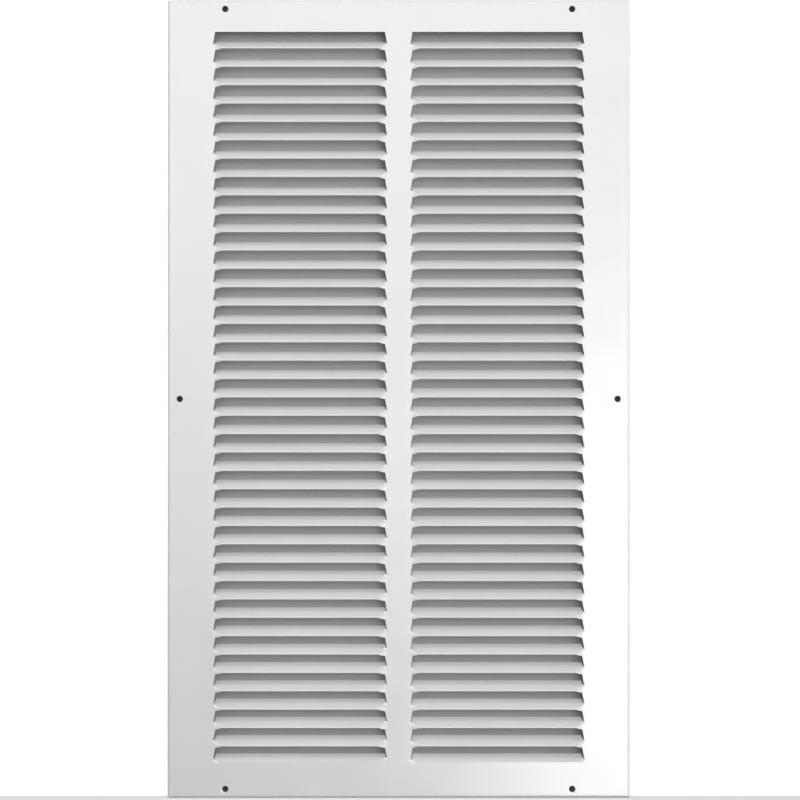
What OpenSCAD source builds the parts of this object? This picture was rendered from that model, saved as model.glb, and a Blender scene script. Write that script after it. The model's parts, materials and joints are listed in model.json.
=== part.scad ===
// Louvred air grille for a wall return duct.
// One sheet steel face is stamped with two columns of fixed louvres and its four
// edges are turned back into a rim. A channel stiffens the mullion from behind,
// and a foam strip behind each margin seals the face against the wall.
// Millimetres. X is the width, Z is up and the room is on the -Y side.
// The origin is the centre of the face, on its front surface.

/* [Face] */
// Plain margin beside the louvres, at the left and at the right
side_margin = 31.5; // [26:0.5:60]
// Plain margin above and below the louvres
end_margin = 22.2; // [22.2:0.1:50]
// Width of the plain mullion between the two columns of louvres
mullion_w = 16; // [15:0.5:40]
// Thickness of the coated sheet
sheet_t = 0.7; // [0.6:0.1:1]
// Depth of the turned-back rim, from the front surface to the wall
rim_depth = 10; // [10:0.5:20]
// Outside radius of the bend at the rim
bend_r = 2; // [1.5:0.25:3]

/* [Louvres] */
// Number of louvres in each column
rows = 40; // [4:1:60]
// Height of the strip of sheet that makes one louvre
pitch = 12.7; // [12:0.1:12.8]
// Width of a louvre opening where the blade joins the sheet
louvre_w = 120.5; // [60:0.5:200]
// How much narrower the opening is at its upper slit, at each end
splay = 1.5; // [0.5:0.25:3]
// Angle of the blade, from the plane of the face
blade_angle = 63; // [55:1:66]
// Angle of the lip at the blade's lower edge, from the plane of the face
lip_angle = 26; // [20:1:40]
// Height of the strip of metal that is bent into the lip
lip_h = 1.1; // [0.9:0.1:1.2]
// Height of the line that the blade turns about, above the strip's lower edge
hinge_h = 2.65; // [2.4:0.05:2.7]
// Height of the uncut neck that holds each end of a blade
neck_h = 4.3; // [3.8:0.1:5]
// Length over which the neck turns from the sheet into the blade
neck_len = 5; // [4:0.5:8]
// Shear gap between the end of a blade and the opening
end_gap = 0.15; // [0.1:0.05:1]

/* [Screw holes] */
// Diameter of each screw hole
hole_d = 4.4; // [4:0.1:5]
// Distance between the two holes of the top pair, and of the bottom pair
hole_spacing = 240; // [100:5:280]
// Distance from the top or bottom edge to the centre of its holes
hole_inset = 6.35; // [6:0.05:8]
// Distance from the left or right edge to the centre of its hole
side_hole_inset = 8.5; // [6:0.5:8.5]

/* [Stiffener] */
// Width of the channel behind the mullion
stiffener_w = 12; // [10:0.5:13]
// Depth of the channel's two legs
stiffener_depth = 8; // [4:0.5:8.5]
// Thickness of the channel's sheet
stiffener_t = 0.9; // [0.7:0.1:1.2]

/* [Seal] */
// Width of each foam strip
seal_w = 10; // [8:0.5:10]
// Distance from the edge of the face to the foam
seal_inset = 11; // [11:0.1:12]

/* [Hidden] */
field_h = rows * pitch;
face_w = 2 * (side_margin + louvre_w) + mullion_w;
face_h = field_h + 2 * end_margin;
column_x = (mullion_w + louvre_w) / 2;
slit_w = louvre_w - 2 * splay;
free_w = louvre_w - 2 * neck_len;
lip_bend = blade_angle - lip_angle;
seal_outer_w = face_w - 2 * seal_inset;
seal_outer_h = face_h - 2 * seal_inset;
seal_depth = rim_depth - sheet_t;
weld_overlap = 1;
cut = 1;
$fn = 64;

// Cross-section of a tray, open towards +Y, with its two front corners rounded
module tray_section(width, front, back, radius) {
    translate([-width / 2, front + radius])
        square([width, back - front - radius]);
    translate([radius - width / 2, front])
        square([width - 2 * radius, back - front]);
    for (side = [-1, 1])
        translate([side * (width / 2 - radius), front + radius])
            circle(radius);
}

// A block whose four front edges are rounded and meet in mitres at the corners
module tray_block(width, height, front, back, radius) {
    intersection() {
        linear_extrude(height, center = true)
            tray_section(width, front, back, radius);
        rotate([0, 90, 0])
            linear_extrude(width, center = true)
                tray_section(height, front, back, radius);
    }
}

// The flat face with its turned-back rim, before the louvres are cut
module pressed_tray() {
    difference() {
        tray_block(face_w, face_h, 0, rim_depth, bend_r);
        tray_block(face_w - 2 * sheet_t, face_h - 2 * sheet_t,
                   sheet_t, rim_depth + cut, bend_r - sheet_t);
    }
}

// One opening: straight slit above, and splayed ends down to the necks
module louvre_window() {
    polygon([
        [-louvre_w / 2, neck_h],
        [louvre_w / 2, neck_h],
        [slit_w / 2, pitch],
        [-slit_w / 2, pitch]
    ]);
}

// All that is open in one column, seen from the front. Only the necks stay.
module column_opening() {
    throat_w = free_w - 2 * weld_overlap;
    for (row = [0 : rows - 1])
        translate([0, row * pitch - field_h / 2])
            louvre_window();
    translate([-throat_w / 2, hinge_h - field_h / 2])
        square([throat_w, field_h - hinge_h]);
}

// Outline of one blade, measured from its hinge line
module blade_outline(foot) {
    shoulder_w = louvre_w - 2 * end_gap;
    tip_w = slit_w - 2 * end_gap;
    shoulder = neck_h - hinge_h;
    polygon([
        [-free_w / 2, -foot],
        [free_w / 2, -foot],
        [free_w / 2, shoulder],
        [shoulder_w / 2, shoulder],
        [tip_w / 2, pitch - hinge_h],
        [-tip_w / 2, pitch - hinge_h],
        [-shoulder_w / 2, shoulder],
        [-free_w / 2, shoulder]
    ]);
}

// Cross-section of a blade whose lower edge is bent into a lip, measured from its hinge line
module lipped_section() {
    bend = lip_h - hinge_h;
    edge = [bend - lip_h * cos(lip_bend), sheet_t / 2 - lip_h * sin(lip_bend)];
    through = sheet_t * [sin(lip_bend), -cos(lip_bend)];
    polygon([
        [pitch - hinge_h, -sheet_t / 2],
        [pitch - hinge_h, sheet_t / 2],
        [bend, sheet_t / 2],
        edge,
        edge + through,
        [bend + sheet_t * tan(lip_bend / 2), -sheet_t / 2]
    ]);
}

// A blade with its lip, flat on the hinge line and not yet turned
module lipped_blade() {
    intersection() {
        rotate([90, 0, 90])
            linear_extrude(louvre_w, center = true)
                lipped_section();
        linear_extrude(2 * hinge_h, center = true)
            blade_outline(hinge_h);
    }
}

// The lowest blade has no lip: it bends straight out of the bottom margin
module lowest_blade() {
    linear_extrude(sheet_t, center = true)
        blade_outline(sheet_t);
}

// One column of blades. The top of each leans back, and its lip stands in front of the face.
module louvre_column() {
    for (row = [0 : rows - 1])
        translate([0, sheet_t / 2, row * pitch - field_h / 2 + hinge_h])
            rotate([90 - blade_angle, 0, 0])
                if (row == 0) lowest_blade();
                else lipped_blade();
}

// Centres of the four corner holes and the two side holes
module at_screw_holes() {
    for (side = [-1, 1]) {
        for (end = [-1, 1])
            translate([side * hole_spacing / 2, 0, end * (face_h / 2 - hole_inset)])
                children();
        translate([side * (face_w / 2 - side_hole_inset), 0, 0])
            children();
    }
}

module face_panel() {
    color("white")
        union() {
            difference() {
                pressed_tray();
                for (side = [-1, 1])
                    translate([side * column_x, sheet_t + cut, 0])
                        rotate([90, 0, 0])
                            linear_extrude(sheet_t + 2 * cut)
                                column_opening();
                at_screw_holes()
                    translate([0, -cut, 0])
                        rotate([-90, 0, 0])
                            cylinder(d = hole_d, h = sheet_t + 2 * cut);
            }
            for (side = [-1, 1])
                translate([side * column_x, 0, 0])
                    louvre_column();
        }
}

// The flat web that is spot-welded to the back of the mullion and both end margins
module stiffener_web(clearance) {
    web_h = face_h - 2 * hole_inset;
    translate([-stiffener_w / 2 - clearance, sheet_t, -web_h / 2 - clearance])
        cube([stiffener_w + 2 * clearance, stiffener_t + clearance, web_h + 2 * clearance]);
}

module mullion_stiffener() {
    color("gainsboro")
        union() {
            stiffener_web(0);
            for (side = [-1, 1])
                translate([side * (stiffener_w - stiffener_t) / 2, sheet_t + stiffener_depth / 2, 0])
                    cube([stiffener_t, stiffener_depth, field_h], center = true);
        }
}

// One foam strip along an end margin, notched where it passes over the web's end
module end_seal(end) {
    color("dimgray")
        difference() {
            translate([0, sheet_t + seal_depth / 2, end * (seal_outer_h - seal_w) / 2])
                cube([seal_outer_w, seal_depth, seal_w], center = true);
            stiffener_web(0.2);
        }
}

// One foam strip along a side margin, between the two end strips
module side_seal(side) {
    color("dimgray")
        translate([side * (seal_outer_w - seal_w) / 2, sheet_t + seal_depth / 2, 0])
            cube([seal_w, seal_depth, seal_outer_h - 2 * seal_w], center = true);
}

module seal_top() {
    end_seal(1);
}

module seal_bottom() {
    end_seal(-1);
}

module seal_left() {
    side_seal(-1);
}

module seal_right() {
    side_seal(1);
}

face_panel();
mullion_stiffener();
seal_top();
seal_bottom();
seal_left();
seal_right();
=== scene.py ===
# %% [markdown]
# # A louvred air grille
# This grille covers the mouth of a return-air duct. It is one sheet of steel. A press cuts
# slits in it and twists the strips between them into louvres, and then its edges are folded
# back into a rim. A channel welded behind the mullion keeps the middle flat, and foam strips
# behind the margins stop air from leaking past. The model is built in the same order as the
# real one: cut the sheet flat, form the louvres, fold the rim, and give it its thickness.

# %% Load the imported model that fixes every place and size
import json
import math

import bmesh
import bpy
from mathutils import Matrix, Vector


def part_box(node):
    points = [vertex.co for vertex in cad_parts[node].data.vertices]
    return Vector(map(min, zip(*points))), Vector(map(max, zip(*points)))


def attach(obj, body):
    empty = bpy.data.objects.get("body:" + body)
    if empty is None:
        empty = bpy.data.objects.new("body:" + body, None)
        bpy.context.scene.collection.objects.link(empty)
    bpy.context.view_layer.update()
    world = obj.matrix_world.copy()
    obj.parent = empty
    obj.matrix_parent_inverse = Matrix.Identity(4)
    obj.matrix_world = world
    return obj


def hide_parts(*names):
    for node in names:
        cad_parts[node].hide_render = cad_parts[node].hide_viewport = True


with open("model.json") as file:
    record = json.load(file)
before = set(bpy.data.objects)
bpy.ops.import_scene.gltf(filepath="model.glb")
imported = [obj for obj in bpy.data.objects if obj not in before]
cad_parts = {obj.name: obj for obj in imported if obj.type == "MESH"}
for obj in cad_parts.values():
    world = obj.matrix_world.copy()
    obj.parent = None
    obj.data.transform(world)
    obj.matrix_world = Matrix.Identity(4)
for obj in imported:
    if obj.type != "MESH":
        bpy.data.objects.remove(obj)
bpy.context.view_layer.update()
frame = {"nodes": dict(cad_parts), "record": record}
print("nodes:", sorted(frame["nodes"]))

# %% [markdown]
# The frame says how big the face is and where the screws go. What it can't say is how one
# louvre is formed, so those few values are repeated here. Everything else follows from them.

# %% Sizes, in metres
MM = 0.001
face_low, face_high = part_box("face_panel")
face_w = face_high.x - face_low.x
face_h = face_high.z - face_low.z
rim_depth = face_high.y
mounts = {mount["name"]: mount["dims"] for mount in frame["record"]["mounts"]}
hole_r = mounts["corner_screws"]["hole_r_mm"] * MM
corner_hole_x = mounts["corner_screws"]["spacing_x_mm"] * MM / 2
corner_hole_z = mounts["corner_screws"]["spacing_y_mm"] * MM / 2
side_hole_x = mounts["side_screws"]["spacing_x_mm"] * MM / 2

sheet_t = 0.7 * MM
bend_r = 2.0 * MM  # outside radius of the rim's bend
mullion_w = 16.0 * MM
rows = 40
pitch = 12.7 * MM
louvre_w = 120.5 * MM
splay = 1.5 * MM  # how much shorter the slit is than the opening, at each end
blade_angle = math.radians(63)  # from the plane of the face, as is the lip's
lip_angle = math.radians(26)
lip_h = 1.1 * MM
hinge_h = 2.65 * MM  # height of the line that the blade turns about
neck_h = 4.3 * MM  # height of the uncut neck at each end of a blade
neck_len = 5.0 * MM  # length over which a neck twists
end_gap = 0.15 * MM  # between the end of a blade and the opening

field_h = rows * pitch
column_x = (mullion_w + louvre_w) / 2
root_in = mullion_w / 2
root_out = root_in + louvre_w
flat_x = face_w / 2 - bend_r
flat_z = face_h / 2 - bend_r
print(f"face {face_w / MM:.1f} x {face_h / MM:.1f} mm, rim {rim_depth / MM:.1f} mm deep")

# %% [markdown]
# The camera looks straight at the face from 1.7 m away, about a millimetre off its middle. From
# there the upper louvres show more of their gaps and the lower ones more of their blades.

# %% Place the camera
camera_x = 0.9 * MM
camera_z = -0.7 * MM
camera_distance = 1.7
view_w = 553.5 * MM  # how much of the face's plane fits across the view
sensor_w = 36.0
bpy.ops.object.select_all(action="DESELECT")
bpy.ops.object.camera_add(
    location=(camera_x, -camera_distance, camera_z), rotation=(math.pi / 2, 0, 0)
)
camera = bpy.context.object
camera.data.sensor_width = sensor_w
camera.data.lens = sensor_w * camera_distance / view_w
bpy.context.scene.camera = camera

# %% [markdown]
# An operator in edit mode acts on whatever is selected. This helper selects vertices, edges
# or faces by where their middle is, which is how a script points at things.

# %% Helpers for selecting and for edit mode
TOUCH = 0.01 * MM  # two places closer than this count as one


def middle_of(item):
    """The place of a vertex, or the middle of an edge or a face."""
    if isinstance(item, bmesh.types.BMVert):
        return item.co
    if isinstance(item, bmesh.types.BMEdge):
        return (item.verts[0].co + item.verts[1].co) / 2
    return item.calc_center_median()


def pick(kind, test):
    """In edit mode, select each VERT, EDGE or FACE that passes the test. Returns how many."""
    bpy.ops.mesh.select_mode(type=kind)
    bpy.ops.mesh.select_all(action="DESELECT")
    mesh = bpy.context.object.data
    bm = bmesh.from_edit_mesh(mesh)
    items = {"VERT": bm.verts, "EDGE": bm.edges, "FACE": bm.faces}[kind]
    chosen = [item for item in items if test(item)]
    for item in chosen:
        item.select_set(True)
    bm.select_flush_mode()
    bmesh.update_edit_mesh(mesh)
    return len(chosen)


def open_piece(piece):
    """Make one piece active and enter edit mode on it."""
    bpy.ops.object.select_all(action="DESELECT")
    piece.select_set(True)
    bpy.context.view_layer.objects.active = piece
    bpy.ops.object.mode_set(mode="EDIT")


def close_piece():
    bpy.ops.object.mode_set(mode="OBJECT")


def near(a, b):
    return abs(a - b) < TOUCH


def cut_across(normal, lines):
    """In edit mode, cut the whole piece across this direction at each line's distance."""
    for line in lines:
        bpy.ops.mesh.select_all(action="SELECT")
        bpy.ops.mesh.bisect(plane_co=normal * line, plane_no=normal)


def face_the_room():
    """In edit mode, turn every face of a thin sheet towards the room, which is on the -Y side."""
    bpy.ops.mesh.select_all(action="SELECT")
    bpy.ops.mesh.normals_make_consistent(inside=False)
    bm = bmesh.from_edit_mesh(bpy.context.object.data)
    if sum(face.normal.y * face.calc_area() for face in bm.faces) > 0:
        bpy.ops.mesh.flip_normals()


# %% [markdown]
# Every flat stretch of the sheet is a band: one plane facing the room, cut along the lines
# where something will happen later. Bisect cuts the whole plane, so the lines of two bands
# that meet are kept the same, and their vertices can then be merged.

# %% A flat band of sheet with cut lines
def add_band(name, x_lines, z_lines):
    width = x_lines[-1] - x_lines[0]
    height = z_lines[-1] - z_lines[0]
    centre = ((x_lines[0] + x_lines[-1]) / 2, 0, (z_lines[0] + z_lines[-1]) / 2)
    bpy.ops.object.select_all(action="DESELECT")
    bpy.ops.mesh.primitive_plane_add(size=1, location=centre, rotation=(math.pi / 2, 0, 0))
    band = bpy.context.object
    band.name = name
    band.scale = (width, height, 1)
    bpy.ops.object.transform_apply(location=True, rotation=True, scale=True)
    open_piece(band)
    cut_across(Vector((1, 0, 0)), x_lines[1:-1])
    cut_across(Vector((0, 0, 1)), z_lines[1:-1])
    close_piece()
    return band


# %% [markdown]
# One louvre starts as a flat strip. The lines are close together in the two necks, where the
# sheet will twist, and far apart along the blade, which stays straight.

# %% Lines of one strip, for the right half of the grille
land = 1.2 * MM  # flat sheet beside the end of each louvre
fold_line = 1.0 * MM  # flat sheet beside each bend of the rim
neck_steps = 6
neck_offsets = [neck_len * step / neck_steps for step in range(1, neck_steps + 1)]
blade_lines = [column_x - louvre_w / 4, column_x, column_x + louvre_w / 4]
louvre_lines = sorted(
    [root_in, root_out]
    + [root_in + offset for offset in neck_offsets]
    + blade_lines
    + [root_out - offset for offset in neck_offsets]
)
margin_lines = [root_out + land, flat_x - fold_line, flat_x]
strip_x = [0, root_in - land] + louvre_lines + margin_lines
free_steps = 5
neck_z = [0, lip_h, (lip_h + hinge_h) / 2, hinge_h, (hinge_h + neck_h) / 2, neck_h]
free_z = [neck_h + (pitch - neck_h) * step / free_steps for step in range(1, free_steps + 1)]
strip_z = neck_z + free_z
print(len(strip_x), "lines across and", len(strip_z), "up the strip")


# %% [markdown]
# Lancing is cutting without removing metal. The side cuts run up from the neck, and they
# lean inwards, so the upper slit is shorter than the strip is wide at its neck. Edge split
# makes the cut, and a small resize of each level gives the lean.

# %% Cut and splay one strip
def opening_share(z, joined_below):
    """Width of the opening at this height, as a share of its width at the neck."""
    slit_share = 1 - 2 * splay / louvre_w
    if z <= neck_h:
        if joined_below:
            return 1
        return slit_share + (1 - slit_share) * z / neck_h
    return 1 - (1 - slit_share) * (z - neck_h) / (pitch - neck_h)


def lance(strip, joined_below):
    open_piece(strip)
    pick("EDGE", lambda e: middle_of(e).z > neck_h + TOUCH and any(
        near(e.verts[0].co.x, root) and near(e.verts[1].co.x, root)
        for root in (root_in, root_out)
    ))
    bpy.ops.mesh.edge_split(type="EDGE")
    for z in strip_z:
        pick("VERT", lambda v: near(v.co.z, z) and abs(v.co.x - column_x) < louvre_w / 2 + TOUCH)
        share = opening_share(z, joined_below)
        bpy.ops.transform.resize(value=(share, 1, 1), center_override=(column_x, 0, z))
    close_piece()


# %% [markdown]
# The punch then turns the strip about a hinge line in its necks. The blade turns as a flat
# plate, and the necks take up the difference as a smooth twist. Each vertex gets its share
# of the turn, and those with the same share are rotated together. Last, the lip at the lower
# edge is bent back towards the room, which is the bright line under each blade.

# %% Twist one strip into a louvre
free_rise = 3.0 * MM  # height above the neck within which a cut end reaches its full turn


def turn_share(co, joined_below):
    """How far a point of the strip turns: 0 at the roots and 1 on the blade."""
    half_w = louvre_w / 2 * opening_share(co.z, joined_below)
    along = (half_w - abs(co.x - column_x)) / neck_len
    if joined_below and co.z <= hinge_h + TOUCH:
        return 0
    above = max(0, co.z - neck_h) / free_rise
    t = min(1, max(0, along + above))
    return t * t * (3 - 2 * t)


def lip_pairs(strip):
    """For each vertex on the strip's lower edge, the one above it, on the lip's bend line."""
    pairs = {}
    for edge in bmesh.from_edit_mesh(strip.data).edges:
        foot, bend = sorted(edge.verts, key=lambda v: v.co.z)
        if near(foot.co.z, 0) and near(bend.co.z, lip_h) and root_in < bend.co.x < root_out:
            pairs[foot.index] = bend.index
    return pairs


def bend_lip(strip, pairs):
    """Turn the lower edge about the bend line, each vertex by its share of the blade's turn."""
    for foot_index, bend_index in pairs.items():
        bm = bmesh.from_edit_mesh(strip.data)
        bm.verts.ensure_lookup_table()
        rise = bm.verts[bend_index].co - bm.verts[foot_index].co
        pivot = bm.verts[bend_index].co.copy()
        turn = math.atan2(rise.y, rise.z) * (1 - lip_angle / blade_angle)
        pick("VERT", lambda v: v.index == foot_index)
        bpy.ops.transform.rotate(value=-turn, orient_axis="X", center_override=pivot)


def form(strip, joined_below):
    open_piece(strip)
    pairs = lip_pairs(strip)
    bm = bmesh.from_edit_mesh(strip.data)
    blade_verts = set()
    for face in bm.faces:
        spot = middle_of(face)
        if abs(spot.x - column_x) < louvre_w / 2 * opening_share(spot.z, joined_below):
            blade_verts.update(face.verts)
    groups = {}
    cut_ends = set()
    for vert in blade_verts:
        share = round(turn_share(vert.co, joined_below), 3)
        groups.setdefault(share, set()).add(vert.index)
        half_w = louvre_w / 2 * opening_share(vert.co.z, joined_below)
        if vert.co.z > neck_h + TOUCH and abs(vert.co.x - column_x) > half_w - TOUCH:
            cut_ends.add(vert.index)
    pick("VERT", lambda v: v.index in cut_ends)
    gap_share = 1 - 2 * end_gap / louvre_w
    bpy.ops.transform.resize(value=(gap_share, 1, 1), center_override=(column_x, 0, 0))
    for share, members in groups.items():
        if share > 0:
            pick("VERT", lambda v: v.index in members)
            bpy.ops.transform.rotate(
                value=blade_angle * share, orient_axis="X",
                center_override=(0, sheet_t / 2, hinge_h),
            )
    if not joined_below:
        bend_lip(strip, pairs)
    close_piece()


def add_louvre_row(name, joined_below, z):
    """The right half of one row, formed, with its lower edge at height z."""
    row = add_band(name, strip_x, strip_z)
    lance(row, joined_below)
    form(row, joined_below)
    row.location.z = z
    bpy.ops.object.transform_apply(location=True)
    return row


row = add_louvre_row("louvre_row", False, pitch - field_h / 2)
lowest_row = add_louvre_row("lowest_row", True, -field_h / 2)

# %% [markdown]
# Only one row had to be formed by hand, because a press repeats the same stroke. An array
# modifier stacks the copies and merges the margins where they meet. The lowest row is the
# odd one out: its blade has no free lower edge and bends straight out of the bottom margin.


# %% Stack the rows
def apply_modifier(piece, kind, **settings):
    """Add a modifier with these settings and apply it."""
    bpy.ops.object.select_all(action="DESELECT")
    piece.select_set(True)
    bpy.context.view_layer.objects.active = piece
    modifier = piece.modifiers.new(kind.lower(), kind)
    for name, value in settings.items():
        setattr(modifier, name, value)
    bpy.ops.object.modifier_apply(modifier=modifier.name)


apply_modifier(
    row, "ARRAY", count=rows - 1, use_relative_offset=False, use_constant_offset=True,
    constant_offset_displace=(0, 0, pitch), use_merge_vertices=True, merge_threshold=TOUCH,
)
print("rows stacked:", len(row.data.polygons), "faces")

# %% [markdown]
# The plain margins above and below complete the right half. Above the top slit the sheet is
# cut, so that band only needs the lines where it joins the rows. The bottom band is joined
# all the way across, so it has every line of the strip.

# %% Add the end margins and join the half sheet
top_x = [0, root_in - land, root_in + splay, root_out - splay] + margin_lines
top_band = add_band("top_margin", top_x, [field_h / 2, flat_z - fold_line, flat_z])
bottom_band = add_band("bottom_margin", strip_x, [-flat_z, fold_line - flat_z, -field_h / 2])
bpy.ops.object.select_all(action="DESELECT")
for part in (top_band, bottom_band, lowest_row, row):
    part.select_set(True)
bpy.context.view_layer.objects.active = row
bpy.ops.object.join()
sheet = bpy.context.object
sheet.name = "face_sheet"
open_piece(sheet)
bpy.ops.mesh.select_all(action="SELECT")
bpy.ops.mesh.remove_doubles(threshold=TOUCH)
close_piece()
print("half sheet:", len(sheet.data.vertices), "vertices")

# %% [markdown]
# A screw hole is punched out of the flat sheet. The faces around it are deleted but their
# outline is kept, a circle is added in the gap, and fill joins the two outlines. That keeps
# the hole truly round without adding lines that would run across the whole sheet.

# %% Punch the screw holes
hole_sides = 40
punch_clearance = 0.3 * MM


def punch_hole(piece, x, z, radius):
    """Cut a round hole through the flat faces that it touches."""
    reach = radius + punch_clearance
    open_piece(piece)
    bm = bmesh.from_edit_mesh(piece.data)

    def under_punch(face):
        xs = [v.co.x for v in face.verts]
        zs = [v.co.z for v in face.verts]
        return (
            min(xs) < x + reach and max(xs) > x - reach
            and min(zs) < z + reach and max(zs) > z - reach
        )

    corners = [v.co.copy() for f in bm.faces if under_punch(f) for v in f.verts]
    left, right = min(c.x for c in corners), max(c.x for c in corners)
    base, top = min(c.z for c in corners), max(c.z for c in corners)

    def left_inside(edge):
        spot = middle_of(edge)
        inside = left + TOUCH < spot.x < right - TOUCH and base + TOUCH < spot.z < top - TOUCH
        return edge.is_wire and inside

    pick("FACE", under_punch)
    bpy.ops.mesh.delete(type="ONLY_FACE")
    pick("EDGE", left_inside)
    bpy.ops.mesh.delete(type="EDGE")
    bpy.ops.mesh.primitive_circle_add(
        vertices=hole_sides, radius=radius, location=(x, 0, z), rotation=(math.pi / 2, 0, 0)
    )

    def outlines(edge):
        spot = middle_of(edge)
        on_side = (near(spot.x, left) or near(spot.x, right)) and base < spot.z < top
        on_end = (near(spot.z, base) or near(spot.z, top)) and left < spot.x < right
        on_circle = math.hypot(spot.x - x, spot.z - z) < radius
        return on_side or on_end or on_circle

    pick("EDGE", outlines)
    bpy.ops.mesh.fill(use_beauty=True)
    close_piece()


for x, z in ((corner_hole_x, corner_hole_z), (corner_hole_x, -corner_hole_z), (side_hole_x, 0)):
    punch_hole(sheet, x, z, hole_r)
print(f"holes of {2 * hole_r / MM:.1f} mm punched")

# %% [markdown]
# The other half is the mirror image. The mirror modifier merges the two along the middle of
# the mullion.

# %% Mirror the half sheet
apply_modifier(sheet, "MIRROR", use_axis=(True, False, False), merge_threshold=TOUCH)
open_piece(sheet)
face_the_room()
close_piece()
print("whole sheet:", len(sheet.data.polygons), "faces")

# %% [markdown]
# The press brake folds all four edges back. Each step of the bend extrudes the outer edge,
# grows it sideways and pushes it back, following a quarter circle. Growing the whole outline
# at once makes the four bends meet in clean mitres at the corners.

# %% Fold the rim
bend_steps = 6


def quarter_bend(radius, steps):
    """How far out and how far back the sheet has come after each step of the bend."""
    angles = [math.pi / 2 * step / steps for step in range(1, steps + 1)]
    return [(radius * math.sin(angle), radius * (1 - math.cos(angle))) for angle in angles]


def fold_back(start, stops):
    """Extrude the selected edges to each stop: its half width, its depth and its half height."""
    reached = start
    for stop in stops:
        bpy.ops.mesh.extrude_edges_move()
        growth = (stop.x / reached.x, 1, stop.z / reached.z)
        bpy.ops.transform.resize(value=growth, center_override=(0, 0, 0))
        bpy.ops.transform.translate(value=(0, stop.y - reached.y, 0))
        reached = stop


def on_outline(edge, half_w, half_h):
    a, b = edge.verts[0].co, edge.verts[1].co
    on_side = near(abs(a.x), half_w) and near(a.x, b.x)
    on_end = near(abs(a.z), half_h) and near(a.z, b.z)
    return on_side or on_end


open_piece(sheet)
pick("EDGE", lambda e: on_outline(e, flat_x, flat_z))
stops = [
    Vector((flat_x + out, back, flat_z + out)) for out, back in quarter_bend(bend_r, bend_steps)
]
stops.append(Vector((face_w / 2, bend_r + fold_line, face_h / 2)))
stops.append(Vector((face_w / 2, rim_depth, face_h / 2)))
fold_back(Vector((flat_x, 0, flat_z)), stops)
close_piece()
print("rim folded:", len(sheet.data.polygons), "faces")

# %% [markdown]
# Up to here the sheet is infinitely thin. Solidify gives it the thickness of the steel
# behind the front surface, and marks the cut edges with a second material. A small bevel
# then rounds every cut edge, as a powder coat does, and weighted normals keep the wide flat
# faces looking flat beside those bevels.

# %% Give the sheet its thickness
edge_round = 0.12 * MM
cut_edge_angle = math.radians(55)
smooth_angle = math.radians(40)


def thicken(piece, thickness, edge_material=0):
    """Thicken a thin sheet away from the room and round its cut edges."""
    apply_modifier(
        piece, "SOLIDIFY", thickness=thickness, offset=-1, use_even_offset=True,
        material_offset_rim=edge_material,
    )
    apply_modifier(
        piece, "BEVEL", width=edge_round, segments=2, limit_method="ANGLE",
        angle_limit=cut_edge_angle,
    )
    bpy.ops.object.shade_smooth_by_angle(angle=smooth_angle)
    apply_modifier(piece, "WEIGHTED_NORMAL", keep_sharp=True)


thicken(sheet, sheet_t, edge_material=1)
sheet.data.calc_loop_triangles()
print("face sheet:", len(sheet.data.loop_triangles), "triangles")

# %% [markdown]
# The stiffener is a shallow channel of galvanised steel. Its web lies flat on the back of
# the mullion and runs on over both end margins, and its two legs stand up between the
# columns of louvres. It starts as a flat band, like the face. A spot welder leaves a small
# round dent at each weld, so each dent is a filled hole that is inset and pressed in.

# %% Cut the stiffener's web and press the weld dents
channel_low, channel_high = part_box("mullion_stiffener")
channel_t = 0.9 * MM
channel_bend_r = 1.2 * MM
web_x = channel_high.x - channel_bend_r
leg_z = field_h / 2
weld_r = 2.5 * MM
weld_rim = 0.7 * MM
weld_depth = 0.25 * MM
weld_patch = 4.0 * MM  # half the height of the stretch of web that holds a weld
rows_per_weld = 6
welds_each_way = 3
weld_every = rows_per_weld * pitch
tab_weld = (leg_z + channel_high.z) / 2
weld_heights = [weld_every * step for step in range(-welds_each_way, welds_each_way + 1)]
weld_heights += [-tab_weld, tab_weld]
web_z = [channel_low.z, -leg_z, leg_z, channel_high.z]
web_z += [z + side * weld_patch for z in weld_heights for side in (-1, 1)]

channel = add_band("stiffener_channel", [-web_x, web_x], sorted(web_z))
for z in weld_heights:
    punch_hole(channel, 0, z, weld_r)
    open_piece(channel)
    pick("EDGE", lambda e: math.hypot(middle_of(e).x, middle_of(e).z - z) < weld_r)
    bpy.ops.mesh.edge_face_add()
    bpy.ops.mesh.inset(thickness=weld_rim)
    bpy.ops.transform.translate(value=(0, -weld_depth, 0))
    close_piece()
print("weld dents:", len(weld_heights))

# %% [markdown]
# The legs are folded up only along the stretch where the louvres are. The two tabs that are
# left flat at the ends get rounded corners.

# %% Fold the legs and thicken the channel
tab_corner = 2.5 * MM
tab_corner_steps = 5
leg_steps = 4

open_piece(channel)
face_the_room()
pick("EDGE", lambda e: abs(middle_of(e).z) < leg_z and near(abs(middle_of(e).x), web_x))
stops = [
    Vector((web_x + out, back, leg_z)) for out, back in quarter_bend(channel_bend_r, leg_steps)
]
stops.append(Vector((channel_high.x, channel_high.y - channel_low.y, leg_z)))
fold_back(Vector((web_x, 0, leg_z)), stops)
pick("VERT", lambda v: near(abs(v.co.z), channel_high.z))
bpy.ops.mesh.bevel(offset=tab_corner, segments=tab_corner_steps, affect="VERTICES")
close_piece()
channel.location.y = channel_low.y
bpy.ops.object.transform_apply(location=True)
thicken(channel, channel_t)
print("channel:", len(channel.data.polygons), "faces")

# %% [markdown]
# The seals are strips of closed-cell foam, cut from a roll and stuck behind the margins.
# Squeezed between the face and the wall, foam bulges at its free sides, and its surface is
# never quite even. A subdivided block gets that from a swollen middle and a small seeded
# shake of its vertices. Where an end strip crosses the stiffener's tab it is pressed thinner.

# %% Model the foam strips
foam_step = 5.0 * MM
foam_bulge = 0.5 * MM
foam_shake = 0.12 * MM
foam_edge = 0.8 * MM
tab_clear = 0.3 * MM
foam_corner_angle = math.radians(60)


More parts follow.
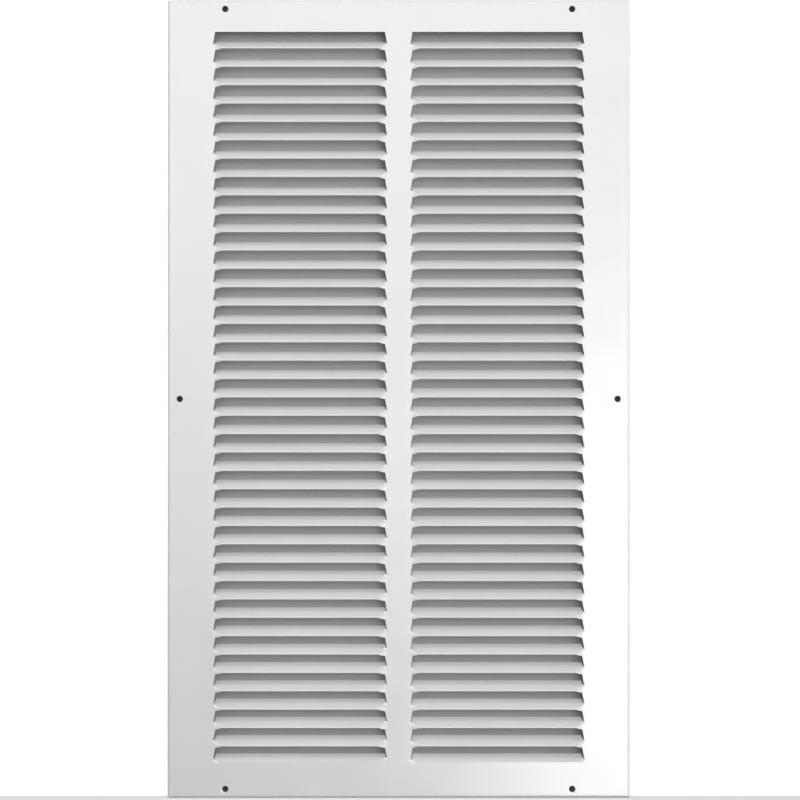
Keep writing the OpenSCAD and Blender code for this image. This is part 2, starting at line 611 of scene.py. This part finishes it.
def add_block(name, centre, size):
    bpy.ops.object.select_all(action="DESELECT")
    bpy.ops.mesh.primitive_cube_add(size=1, location=centre)
    block = bpy.context.object
    block.name = name
    block.scale = size
    bpy.ops.object.transform_apply(location=True, rotation=True, scale=True)
    return block


def add_seal(node, seed):
    """One foam strip in this node's box, swollen, notched over a tab, rounded and uneven."""
    low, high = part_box(node)
    size = high - low
    centre = (low + high) / 2
    along = 0 if size.x > size.z else 2
    across = 2 - along
    seal = add_block(node + "_foam", centre, size)
    open_piece(seal)
    normal = Vector((0, 0, 0))
    normal[along] = 1
    cuts = round(size[along] / foam_step)
    lines = [low[along] + size[along] * cut / cuts for cut in range(1, cuts)]
    if along == 0:
        lines += [-channel_high.x - tab_clear, channel_high.x + tab_clear]
    cut_across(normal, lines)
    cut_across(Vector((0, 1, 0)), [low.y + size.y / 3, low.y + size.y * 2 / 3])
    swell = [1, 1, 1]
    swell[across] = 1 + 2 * foam_bulge / size[across]
    pick("VERT", lambda v: low.y + TOUCH < v.co.y < high.y - TOUCH)
    bpy.ops.transform.resize(value=swell, center_override=centre)
    if along == 0:
        reach = channel_high.x + tab_clear + TOUCH
        pick("VERT", lambda v: abs(v.co.x) < reach and near(v.co.y, low.y))
        bpy.ops.transform.translate(value=(0, channel_t + tab_clear, 0))
    pick("EDGE", lambda e: (
        e.calc_face_angle() > foam_corner_angle
        and abs((e.verts[0].co - e.verts[1].co)[along]) > TOUCH
    ))
    bpy.ops.mesh.bevel(offset=foam_edge, segments=2)
    pick("VERT", lambda v: low.y + TOUCH < v.co.y < high.y - TOUCH)
    bpy.ops.transform.vertex_random(offset=foam_shake, seed=seed)
    bpy.ops.mesh.select_all(action="SELECT")
    bpy.ops.mesh.normals_make_consistent(inside=False)
    close_piece()
    bpy.ops.object.shade_smooth_by_angle(angle=foam_corner_angle)
    return seal


seals = {}
for seed, node in enumerate(("seal_top", "seal_bottom", "seal_left", "seal_right")):
    seals[node] = add_seal(node, seed)
print("foam strips:", ", ".join(seal.name for seal in seals.values()))

# %% [markdown]
# ## Finishes
# A material starts from what the real one is and how its surface was made. Colours are given
# as the sRGB values that a colour picker shows, and one function turns them to the linear
# values that Blender calculates with. One more function adds a node with its settings.


# %% Helpers for materials
def linear(hex_code):
    """An sRGB colour such as "F2F2F1" as linear red, green, blue and alpha."""
    shares = [int(hex_code[place:place + 2], 16) / 255 for place in (0, 2, 4)]
    return [s / 12.92 if s <= 0.04045 else ((s + 0.055) / 1.055) ** 2.4 for s in shares] + [1]


def new_material(name):
    """An empty material. Returns it with its node tree and its Principled shader."""
    material = bpy.data.materials.new(name)
    material.use_nodes = True
    tree = material.node_tree
    return material, tree, tree.nodes["Principled BSDF"]


def add_node(tree, kind, values=None, links=None, **settings):
    """Add a node. values and links name its input sockets, or number them where names repeat."""
    made = tree.nodes.new(kind)
    for name, setting in settings.items():
        setattr(made, name, setting)
    for name, value in (values or {}).items():
        made.inputs[name].default_value = value
    for name, source in (links or {}).items():
        tree.links.new(source, made.inputs[name])
    return made


# %% [markdown]
# The face is powder-coated steel. Powder is sprayed on dry and melts in an oven into a hard
# gloss skin. It flows out almost flat, but a fine orange peel about 2 mm across stays, and
# the thin sheet under it is never perfectly flat either, so reflections waver a little over
# some 80 mm. The colour is an even white with the faintest clouding.

# %% Powder-coated steel
peel_size = 2.0 * MM
peel_depth = 0.012 * MM
sheet_wave_size = 80 * MM
sheet_wave_depth = 0.35 * MM
cloud_size = 45 * MM
coat_ior = 1.5


def powder_coat(name, thin_hex, full_hex, roughness_low, roughness_high):
    material, tree, shader = new_material(name)
    place = add_node(tree, "ShaderNodeTexCoord").outputs["Object"]
    clouds = add_node(
        tree, "ShaderNodeTexNoise", {"Scale": 1 / cloud_size, "Detail": 2.0}, {"Vector": place}
    )
    colour = add_node(tree, "ShaderNodeValToRGB", links={"Fac": clouds.outputs["Fac"]})
    colour.color_ramp.elements[0].position = 0.3
    colour.color_ramp.elements[0].color = linear(thin_hex)
    colour.color_ramp.elements[1].position = 0.7
    colour.color_ramp.elements[1].color = linear(full_hex)
    tree.links.new(colour.outputs["Color"], shader.inputs["Base Color"])
    gloss = add_node(
        tree, "ShaderNodeMapRange",
        {"From Min": 0.3, "From Max": 0.7, "To Min": roughness_low, "To Max": roughness_high},
        {"Value": clouds.outputs["Fac"]},
    )
    tree.links.new(gloss.outputs["Result"], shader.inputs["Roughness"])
    waves = add_node(
        tree, "ShaderNodeTexNoise", {"Scale": 1 / sheet_wave_size, "Detail": 1.0}, {"Vector": place}
    )
    wave_bump = add_node(
        tree, "ShaderNodeBump", {"Strength": 1.0, "Distance": sheet_wave_depth},
        {"Height": waves.outputs["Fac"]},
    )
    peel = add_node(
        tree, "ShaderNodeTexNoise", {"Scale": 1 / peel_size, "Detail": 2.0}, {"Vector": place}
    )
    peel_bump = add_node(
        tree, "ShaderNodeBump", {"Strength": 1.0, "Distance": peel_depth},
        {"Height": peel.outputs["Fac"], "Normal": wave_bump.outputs["Normal"]},
    )
    tree.links.new(peel_bump.outputs["Normal"], shader.inputs["Normal"])
    shader.inputs["IOR"].default_value = coat_ior
    return material


coated_face = powder_coat("powder_coated_steel", "EBEBEB", "EEEEEE", 0.21, 0.25)
coated_edge = powder_coat("powder_coated_cut_edge", "E6E6E6", "EBEBEB", 0.32, 0.38)

# %% [markdown]
# The stiffener is hot-dip galvanised. The zinc freezes into crystals, called spangle, that
# each catch the light a little differently. Voronoi cells give every crystal its own tone
# and roughness, and a little noise bends the borders between them.

# %% Galvanised steel
spangle_size = 7 * MM
grain_depth = 0.03 * MM
drift_size = 4 * MM
drift_reach = 2.5 * MM

galvanised, tree, shader = new_material("galvanised_steel")
place = add_node(tree, "ShaderNodeTexCoord").outputs["Object"]
drift = add_node(
    tree, "ShaderNodeTexNoise", {"Scale": 1 / drift_size, "Detail": 2.0}, {"Vector": place}
)
bent = add_node(
    tree, "ShaderNodeVectorMath", {"Scale": drift_reach}, {0: drift.outputs["Color"]},
    operation="SCALE",
)
spot = add_node(
    tree, "ShaderNodeVectorMath", links={0: place, 1: bent.outputs["Vector"]}, operation="ADD"
)
crystals = add_node(
    tree, "ShaderNodeTexVoronoi", {"Scale": 1 / spangle_size}, {"Vector": spot.outputs["Vector"]}
)
tone = add_node(tree, "ShaderNodeSeparateColor", links={"Color": crystals.outputs["Color"]})
zinc = add_node(tree, "ShaderNodeValToRGB", links={"Fac": tone.outputs["Red"]})
zinc.color_ramp.elements[0].color = linear("9FA3A6")
zinc.color_ramp.elements[1].color = linear("C9CCCE")
tree.links.new(zinc.outputs["Color"], shader.inputs["Base Color"])
dulling = add_node(
    tree, "ShaderNodeMapRange", {"To Min": 0.32, "To Max": 0.52}, {"Value": tone.outputs["Green"]}
)
tree.links.new(dulling.outputs["Result"], shader.inputs["Roughness"])
grains = add_node(
    tree, "ShaderNodeBump", {"Strength": 0.5, "Distance": grain_depth},
    {"Height": crystals.outputs["Distance"]},
)
tree.links.new(grains.outputs["Normal"], shader.inputs["Normal"])
shader.inputs["Metallic"].default_value = 1.0

# %% [markdown]
# The seal is closed-cell foam rubber. Its cut surface shows small cells: dark pores with paler
# walls between them. Real cells are about 0.8 mm across, and are drawn twice as coarse so that
# they show. The foam is matt all over, with a faint sheen from the torn cell walls.

# %% Closed-cell foam
cell_size = 1.6 * MM
cell_depth = 0.15 * MM
patch_size = 12 * MM

foam, tree, shader = new_material("closed_cell_foam")
place = add_node(tree, "ShaderNodeTexCoord").outputs["Object"]
cells = add_node(tree, "ShaderNodeTexVoronoi", {"Scale": 1 / cell_size}, {"Vector": place})
patches = add_node(
    tree, "ShaderNodeTexNoise", {"Scale": 1 / patch_size, "Detail": 3.0}, {"Vector": place}
)
pores = add_node(
    tree, "ShaderNodeMapRange", {"From Min": 0.1, "From Max": 0.7, "To Min": 0.0, "To Max": 0.8},
    {"Value": cells.outputs["Distance"]},
)
depth = add_node(
    tree, "ShaderNodeMath", links={0: pores.outputs["Result"], 1: patches.outputs["Fac"]},
    operation="MULTIPLY",
)
grey = add_node(tree, "ShaderNodeValToRGB", links={"Fac": depth.outputs["Value"]})
grey.color_ramp.elements[0].color = linear("232325")
grey.color_ramp.elements[1].position = 0.6
grey.color_ramp.elements[1].color = linear("47474A")
tree.links.new(grey.outputs["Color"], shader.inputs["Base Color"])
pitted = add_node(
    tree, "ShaderNodeBump", {"Strength": 0.8, "Distance": cell_depth},
    {"Height": cells.outputs["Distance"]},
)
tree.links.new(pitted.outputs["Normal"], shader.inputs["Normal"])
shader.inputs["Roughness"].default_value = 0.92
shader.inputs["Sheen Weight"].default_value = 0.15

# %% [markdown]
# The sheet's cut edges get the duller coat, and each piece hides the imported part of the node
# that it stands for and hangs under the root body.


# %% Put the finishes on and tie each piece to the frame
def finish_piece(piece, materials, slot, *nodes):
    piece.data.materials.clear()
    for material in materials:
        piece.data.materials.append(material)
    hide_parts(*nodes)
    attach(piece, "root")


finish_piece(sheet, [coated_face, coated_edge], "powder_coated_steel", "face_panel")
finish_piece(channel, [galvanised], "galvanised_steel", "mullion_stiffener")
for node, seal in seals.items():
    finish_piece(seal, [foam], "foam_seal", node)
print("finished pieces:", 2 + len(seals))

# %% [markdown]
# ## The stage
# The grille stands on a pale floor against a pale wall. They would hide the grille from behind
# or below, so their material lets a look from their far side pass straight through. No backdrop
# casts a shadow or lights the grille, so that only the lights do. Behind the margins lies a dark
# board of painted shade, for the shade inside the rim, which the screw holes show. Behind each
# column of louvres lies a grey card, which looks like the inside of a duct, and its grey is partly
# painted shade. Painted shade darkens it at its right-hand end, where the end of the opening
# keeps the light off it.


# %% Floor, wall, board and cards
def stage_material(name, hex_code, glow=0.0):
    """A matt finish for the front of a backdrop. glow lightens it whatever light falls on it."""
    material, tree, shader = new_material(name)
    shader.inputs["Base Color"].default_value = linear(hex_code)
    shader.inputs["Roughness"].default_value = 0.9
    shader.inputs["Specular IOR Level"].default_value = 0.0
    shader.inputs["Emission Color"].default_value = linear("FFFFFF")
    shader.inputs["Emission Strength"].default_value = glow
    side = add_node(tree, "ShaderNodeNewGeometry")
    clear = add_node(tree, "ShaderNodeBsdfTransparent")
    both = add_node(tree, "ShaderNodeMixShader", links={
        0: side.outputs["Backfacing"], 1: shader.outputs["BSDF"], 2: clear.outputs["BSDF"],
    })
    tree.links.new(both.outputs["Shader"], tree.nodes["Material Output"].inputs["Surface"])
    return material


def add_stage_plane(name, size, place, rotation, material):
    bpy.ops.object.select_all(action="DESELECT")
    bpy.ops.mesh.primitive_plane_add(size=1, location=place, rotation=rotation)
    plane = bpy.context.object
    plane.name = name
    plane.scale = (size[0], size[1], 1)
    bpy.ops.object.transform_apply(location=True, rotation=True, scale=True)
    plane.data.materials.append(material)
    plane.visible_shadow = False
    plane.visible_diffuse = False
    plane.visible_glossy = False
    plane.visible_transmission = False


shade_starts = 10 * MM
half_shade_at = 4.5 * MM


def shade_right_end(material, width):
    """Paint shade on a card of this width along the last stretch of its right-hand end."""
    tree = material.node_tree
    place = add_node(tree, "ShaderNodeTexCoord").outputs["UV"]
    across = add_node(tree, "ShaderNodeSeparateXYZ", links={"Vector": place})
    shade = add_node(tree, "ShaderNodeValToRGB", links={"Fac": across.outputs["X"]})
    # Painted shade: the card's grey darkens over the last stretch of its right-hand end.
    shade.color_ramp.elements[0].position = 1 - shade_starts / width
    shade.color_ramp.elements[0].color = linear("B6B6B6")
    shade.color_ramp.elements[1].color = linear("626262")
    half_shade = shade.color_ramp.elements.new(1 - half_shade_at / width)
    half_shade.color = linear("989898")
    tree.links.new(shade.outputs["Color"], tree.nodes["Principled BSDF"].inputs["Base Color"])


stage_w = 30.0
upright = (math.pi / 2, 0, 0)
card_gap = 0.3 * MM
card_overlap = 1 * MM
board_inset = 1 * MM
card_w = louvre_w + 2 * card_overlap
card_h = field_h + 2 * bend_r
# The card's grey is partly painted shade, for the dim inside of a duct behind the louvres.
grey_card = stage_material("grey_card", "B6B6B6")
shade_right_end(grey_card, card_w)
add_stage_plane(
    "floor", (stage_w, stage_w), (0, 0, face_low.z), (0, 0, 0),
    stage_material("pale_floor", "E0E0E0", glow=0.22),
)
for name, side in (("left_duct_card", -1), ("right_duct_card", 1)):
    place = (side * column_x, rim_depth + card_gap, 0)
    add_stage_plane(name, (card_w, card_h), place, upright, grey_card)
# Painted shade: a dark board behind the margins stands for the shade inside the rim, seen through
# the screw holes.
add_stage_plane(
    "painted_shade_board", (face_w - 2 * board_inset, face_h - 2 * board_inset),
    (0, rim_depth + 2 * card_gap, 0), upright, stage_material("painted_shade_board", "747474"),
)
add_stage_plane(
    "wall", (stage_w, stage_w), (0, rim_depth + 3 * card_gap, 0), upright,
    stage_material("pale_wall", "FAFAFA", glow=0.5),
)
print("stage: floor, wall, board and a card behind each column")

# %% [markdown]
# Most light comes from a wide softbox above the camera and one overhead. They shine between the
# louvres from above, so each gap is dark under its upper edge and paler below. A weak one at the
# back serves a look from behind. Four panels show only in the gloss of the coat: one at the back,
# one in front of the upper half, one at the right that brightens the fold on that side, and a
# tall one at the lower right.


# %% Lights
def add_softbox(name, place, target, size, radiance, roll=0.0):
    """A rectangular light that shines with this radiance towards the target."""
    bpy.ops.object.select_all(action="DESELECT")
    bpy.ops.object.light_add(type="AREA", location=place)
    light = bpy.context.object
    light.name = name
    light.data.shape = "RECTANGLE"
    light.data.size, light.data.size_y = size
    light.data.energy = math.pi * size[0] * size[1] * radiance
    light.rotation_euler = (Vector(target) - Vector(place)).to_track_quat("-Z", "Y").to_euler()
    light.rotation_euler.rotate_axis("Z", roll)
    light.visible_camera = False
    return light


add_softbox("front_softbox", (0, -2.0, 0.62), (0, 0, 0.1), (2.6, 1.0), 1.95)
add_softbox("overhead_softbox", (0, -1.2, 1.45), (0, 0, 0), (1.6, 0.9), 2.4)
glossy_panels = [
    add_softbox("back_panel", (-1.4, 1.6, 0.6), (0, 0, 0), (2.4, 1.8), 2.5),
    add_softbox("front_panel", (0, -1.7, 0.42), (0, 0, 0.42), (2.4, 1.4), 2.0),
    add_softbox("right_panel", (1.5, -0.3, 0), (0, 0, 0), (2.4, 1.8), 6.0),
    add_softbox(
        "low_right_panel", (0.44, -1.7, -0.36), (0.44, 0, -0.36), (0.6, 0.95), 13.0,
        roll=math.radians(8),
    ),
]
for panel in glossy_panels:
    panel.visible_diffuse = False
add_softbox("back_softbox", (-1.2, 1.8, 1.4), (0, 0, 0), (1.6, 1.2), 1.5)

room_strength = 0.32
world = bpy.data.worlds.new("pale_room")
bpy.context.scene.world = world
world.use_nodes = True
room = world.node_tree.nodes["Background"]
room.inputs["Color"].default_value = linear("FFFFFF")
room.inputs["Strength"].default_value = room_strength
seen = add_node(world.node_tree, "ShaderNodeBackground", {"Color": linear("F4F4F4")})
ray = add_node(world.node_tree, "ShaderNodeLightPath")
look = add_node(world.node_tree, "ShaderNodeMixShader", links={
    0: ray.outputs["Is Camera Ray"], 1: room.outputs["Background"], 2: seen.outputs["Background"],
})
surface = world.node_tree.nodes["World Output"].inputs["Surface"]
world.node_tree.links.new(look.outputs["Shader"], surface)
bpy.context.scene.view_settings.view_transform = "Standard"
print("panels that show only in the gloss:", len(glossy_panels))
